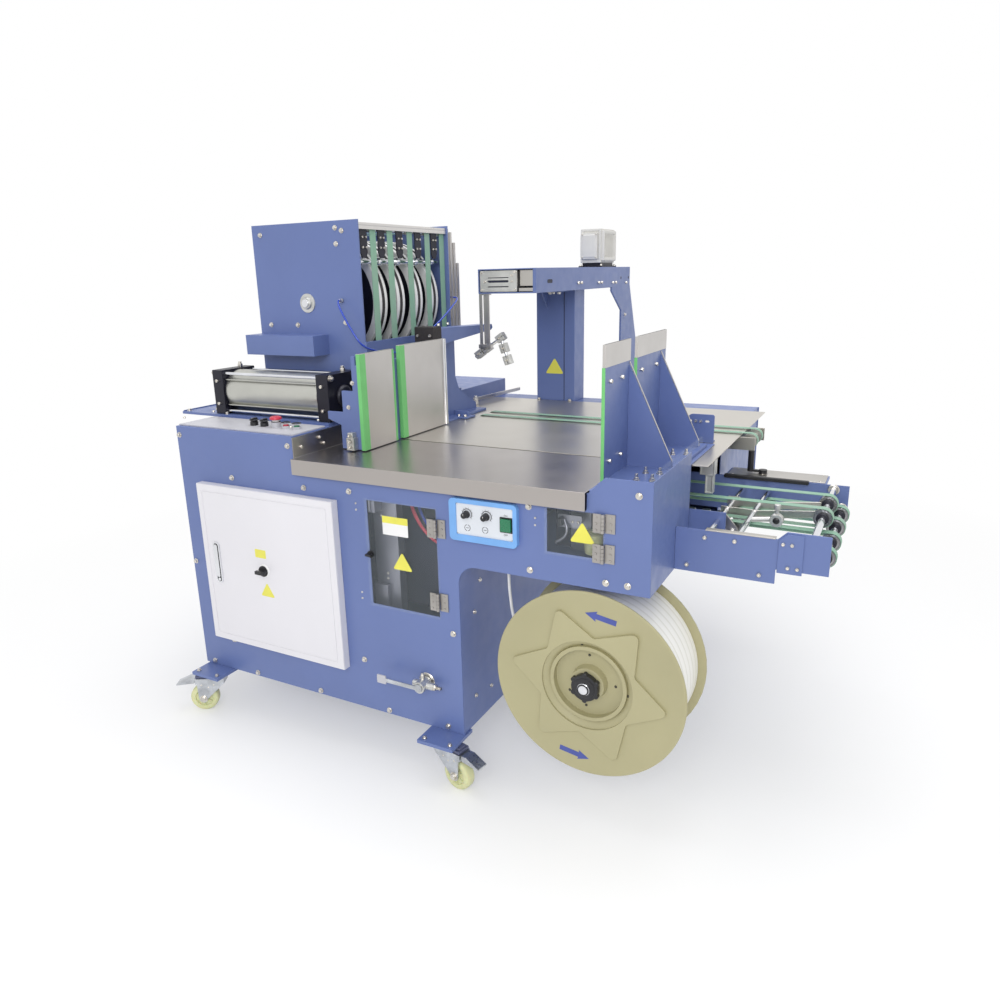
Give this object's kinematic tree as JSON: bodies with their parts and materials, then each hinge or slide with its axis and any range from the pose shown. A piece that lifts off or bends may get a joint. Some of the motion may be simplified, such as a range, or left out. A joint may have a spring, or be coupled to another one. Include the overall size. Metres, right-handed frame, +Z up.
{
  "type": "semi automatic strapping machine",
  "caption": "Table-top strapping machine on castors with a sheet hopper, air pusher, stop brackets, side strap reel and belt outfeed.",
  "frame": {"origin": "middle of the machine's footprint, on the floor under the castor wheels", "axes": "+X along the front towards the outfeed, +Y from the operator's side to the back, +Z up"},
  "size_m": [2.01, 1.9206, 1.524],
  "materials": {
    "aluminium": "drawn aluminium, clear anodised",
    "black_plastic": "black moulded plastic",
    "blue_hose": "blue polyurethane hose",
    "blue_paint": "blue powder coat",
    "chrome": "ground and chromed shaft",
    "clear_plastic": "clear acrylic sheet",
    "cream_plastic": "cream polyamide",
    "green_plastic": "green moulded plastic",
    "grey_paint": "pale grey paint",
    "khaki_plastic": "khaki moulded plastic",
    "light_blue_plastic": "light blue moulded plastic",
    "red_plastic": "red moulded plastic",
    "stainless": "brushed stainless steel",
    "white_paint": "off-white powder coat",
    "white_plastic": "white plastic",
    "zinc": "bright zinc plate"
  },
  "bodies": {
    "machine_frame": {"air_hose": "blue_hose", "air_valve": "zinc", "base_frame": "blue_paint", "beam": "blue_paint", "body_shell": "blue_paint", "column": "blue_paint", "control_box": "light_blue_plastic", "control_strip": "grey_paint", "cylinder_barrel": "aluminium", "cylinder_front_cap": "black_plastic", "cylinder_rear_cap": "black_plastic", "electrical_box": "grey_paint", "end_panel": "blue_paint", "front_panel": "blue_paint", "front_stop_bracket": "blue_paint", "front_table": "stainless", "guide_arm": "blue_paint", "motor_box": "grey_paint", "outfeed_frame": "blue_paint", "rear_stop_bracket": "blue_paint", "rear_table": "stainless", "stacker_frame": "blue_paint", "strap_guide_tube": "white_plastic"},
    "front_left_castor": {"front_left_castor_fork": "zinc"},
    "front_left_wheel": {"front_left_castor_wheel": "cream_plastic"},
    "front_right_castor": {"front_right_castor_fork": "zinc"},
    "front_right_wheel": {"front_right_castor_wheel": "cream_plastic"},
    "rear_left_castor": {"rear_left_castor_fork": "zinc"},
    "rear_left_wheel": {"rear_left_castor_wheel": "cream_plastic"},
    "rear_right_castor": {"rear_right_castor_fork": "zinc"},
    "rear_right_wheel": {"rear_right_castor_wheel": "cream_plastic"},
    "front_left_brake": {"front_left_brake_pedal": "zinc"},
    "front_right_brake": {"front_right_brake_pedal": "zinc"},
    "electrical_door": {"electrical_door": "white_paint"},
    "isolator_knob": {"isolator_knob": "black_plastic"},
    "large_clear_door": {"large_clear_door": "clear_plastic"},
    "large_door_latch": {"large_door_latch": "black_plastic"},
    "small_clear_door": {"small_clear_door": "clear_plastic"},
    "tension_dial": {"tension_dial": "black_plastic"},
    "heat_dial": {"heat_dial": "black_plastic"},
    "power_rocker": {"power_rocker": "green_plastic"},
    "left_selector": {"left_selector": "black_plastic"},
    "right_selector": {"right_selector": "black_plastic"},
    "emergency_stop": {"emergency_stop": "red_plastic"},
    "stop_button": {"stop_button": "red_plastic"},
    "start_button": {"start_button": "green_plastic"},
    "air_valve_lever": {"air_valve_lever": "zinc"},
    "pusher": {"pusher_carrier": "blue_paint", "front_pusher_plate": "stainless", "rear_pusher_plate": "stainless", "piston_rod": "chrome"},
    "turning_drum": {"turning_drum": "white_plastic"},
    "table_belt_roller": {"table_belt_roller": "chrome"},
    "strap_reel": {"reel_front_flange": "khaki_plastic", "reel_rear_flange": "khaki_plastic", "strap_coil": "white_plastic", "reel_spindle": "black_plastic"},
    "outfeed_upper_roller": {"outfeed_upper_roller": "chrome"},
    "outfeed_lower_roller": {"outfeed_lower_roller": "chrome"},
    "width_crank": {"width_crank": "black_plastic"}
  },
  "joints": [
    {"name": "front_left_castor_swivel", "type": "hinge", "parent": "machine_frame", "child": "front_left_castor", "pos_m": [-0.7775, -0.87716, 0.116], "axis": [0, 0, 1], "continuous": true},
    {"name": "front_left_wheel_spin", "type": "hinge", "parent": "front_left_castor", "child": "front_left_wheel", "pos_m": [-0.8208, -0.90216, 0.045], "axis": [0.5, -0.866, 0], "continuous": true},
    {"name": "front_left_brake_press", "type": "hinge", "parent": "front_left_castor", "child": "front_left_brake", "pos_m": [-0.84011, -0.91331, 0.116], "axis": [0.5, -0.866, 0], "range_deg": [0, 12]},
    {"name": "front_right_castor_swivel", "type": "hinge", "parent": "machine_frame", "child": "front_right_castor", "pos_m": [0.0885, -0.87716, 0.116], "axis": [0, 0, 1], "continuous": true},
    {"name": "front_right_wheel_spin", "type": "hinge", "parent": "front_right_castor", "child": "front_right_wheel", "pos_m": [0.13741, -0.88756, 0.045], "axis": [0.2079, 0.9781, 0], "continuous": true},
    {"name": "front_right_brake_press", "type": "hinge", "parent": "front_right_castor", "child": "front_right_brake", "pos_m": [0.15922, -0.8922, 0.116], "axis": [0.2079, 0.9781, 0], "range_deg": [0, 12]},
    {"name": "rear_left_castor_swivel", "type": "hinge", "parent": "machine_frame", "child": "rear_left_castor", "pos_m": [-0.7775, 0.47184, 0.116], "axis": [0, 0, 1], "continuous": true},
    {"name": "rear_left_wheel_spin", "type": "hinge", "parent": "rear_left_castor", "child": "rear_left_wheel", "pos_m": [-0.8258, 0.48478, 0.045], "axis": [-0.2588, -0.9659, 0], "continuous": true},
    {"name": "rear_right_castor_swivel", "type": "hinge", "parent": "machine_frame", "child": "rear_right_castor", "pos_m": [0.0885, 0.47184, 0.116], "axis": [0, 0, 1], "continuous": true},
    {"name": "rear_right_wheel_spin", "type": "hinge", "parent": "rear_right_castor", "child": "rear_right_wheel", "pos_m": [0.13381, 0.49297, 0.045], "axis": [-0.4226, 0.9063, 0], "continuous": true},
    {"name": "electrical_door_swing", "type": "hinge", "parent": "machine_frame", "child": "electrical_door", "pos_m": [-0.241, -0.88266, 0.264], "axis": [0, 0, 1], "range_deg": [0, 110]},
    {"name": "isolator_turn", "type": "hinge", "parent": "electrical_door", "child": "isolator_knob", "pos_m": [-0.515, -0.88296, 0.527], "axis": [0, 1, 0], "range_deg": [0, 90]},
    {"name": "large_clear_door_swing", "type": "hinge", "parent": "machine_frame", "child": "large_clear_door", "pos_m": [0.082, -0.86296, 0.483], "axis": [0, 0, 1], "range_deg": [0, 110]},
    {"name": "large_door_latch_turn", "type": "hinge", "parent": "large_clear_door", "child": "large_door_latch", "pos_m": [-0.132, -0.86326, 0.632], "axis": [0, 1, 0], "range_deg": [0, 90]},
    {"name": "small_clear_door_swing", "type": "hinge", "parent": "machine_frame", "child": "small_clear_door", "pos_m": [0.534, -0.86296, 0.716], "axis": [0, 0, 1], "range_deg": [0, 110]},
    {"name": "tension_dial_turn", "type": "hinge", "parent": "machine_frame", "child": "tension_dial", "pos_m": [0.177, -0.87196, 0.786], "axis": [0, 1, 0], "range_deg": [-140, 140]},
    {"name": "heat_dial_turn", "type": "hinge", "parent": "machine_frame", "child": "heat_dial", "pos_m": [0.232, -0.87196, 0.786], "axis": [0, 1, 0], "range_deg": [-140, 140]},
    {"name": "power_rocker_tilt", "type": "hinge", "parent": "machine_frame", "child": "power_rocker", "pos_m": [0.286, -0.87166, 0.771], "axis": [1, 0, 0], "range_deg": [-8, 8]},
    {"name": "left_selector_turn", "type": "hinge", "parent": "machine_frame", "child": "left_selector", "pos_m": [-0.6, -0.77766, 0.9406], "axis": [0, 0, 1], "range_deg": [-45, 45]},
    {"name": "right_selector_turn", "type": "hinge", "parent": "machine_frame", "child": "right_selector", "pos_m": [-0.56, -0.77766, 0.9406], "axis": [0, 0, 1], "range_deg": [-45, 45]},
    {"name": "emergency_stop_press", "type": "slide", "parent": "machine_frame", "child": "emergency_stop", "axis": [0, 0, -1], "range_m": [0, 0.005]},
    {"name": "stop_button_press", "type": "slide", "parent": "machine_frame", "child": "stop_button", "axis": [0, 0, -1], "range_m": [0, 0.003], "stiffness_N_per_m": 300},
    {"name": "start_button_press", "type": "slide", "parent": "machine_frame", "child": "start_button", "axis": [0, 0, -1], "range_m": [0, 0.003], "stiffness_N_per_m": 300},
    {"name": "air_valve_lever_turn", "type": "hinge", "parent": "machine_frame", "child": "air_valve_lever", "pos_m": [0.027, -0.90326, 0.283], "axis": [0, 1, 0], "range_deg": [0, 90]},
    {"name": "pusher_stroke", "type": "slide", "parent": "machine_frame", "child": "pusher", "axis": [1, 0, 0], "range_m": [0, 0.345]},
    {"name": "turning_drum_spin", "type": "hinge", "parent": "machine_frame", "child": "turning_drum", "pos_m": [-0.592, -0.50366, 1.283], "axis": [0, 1, 0], "continuous": true},
    {"name": "table_belt_roller_spin", "type": "hinge", "parent": "machine_frame", "child": "table_belt_roller", "pos_m": [0.707, -0.06766, 0.857], "axis": [0, 1, 0], "continuous": true},
    {"name": "strap_reel_spin", "type": "hinge", "parent": "machine_frame", "child": "strap_reel", "pos_m": [0.4925, -0.75766, 0.383], "axis": [0, 1, 0], "continuous": true},
    {"name": "outfeed_upper_roller_spin", "type": "hinge", "parent": "machine_frame", "child": "outfeed_upper_roller", "pos_m": [0.955, -0.40766, 0.752], "axis": [0, 1, 0], "continuous": true},
    {"name": "outfeed_lower_roller_spin", "type": "hinge", "parent": "machine_frame", "child": "outfeed_lower_roller", "pos_m": [0.98, -0.40766, 0.7], "axis": [0, 1, 0], "continuous": true},
    {"name": "width_crank_turn", "type": "hinge", "parent": "machine_frame", "child": "width_crank", "pos_m": [0.755, -0.10766, 0.7653], "axis": [0, 0, 1], "continuous": true}
  ],
  "couplings": [
    {"joint": "outfeed_lower_roller_spin", "follows": "outfeed_upper_roller_spin", "ratio": 1}
  ]
}
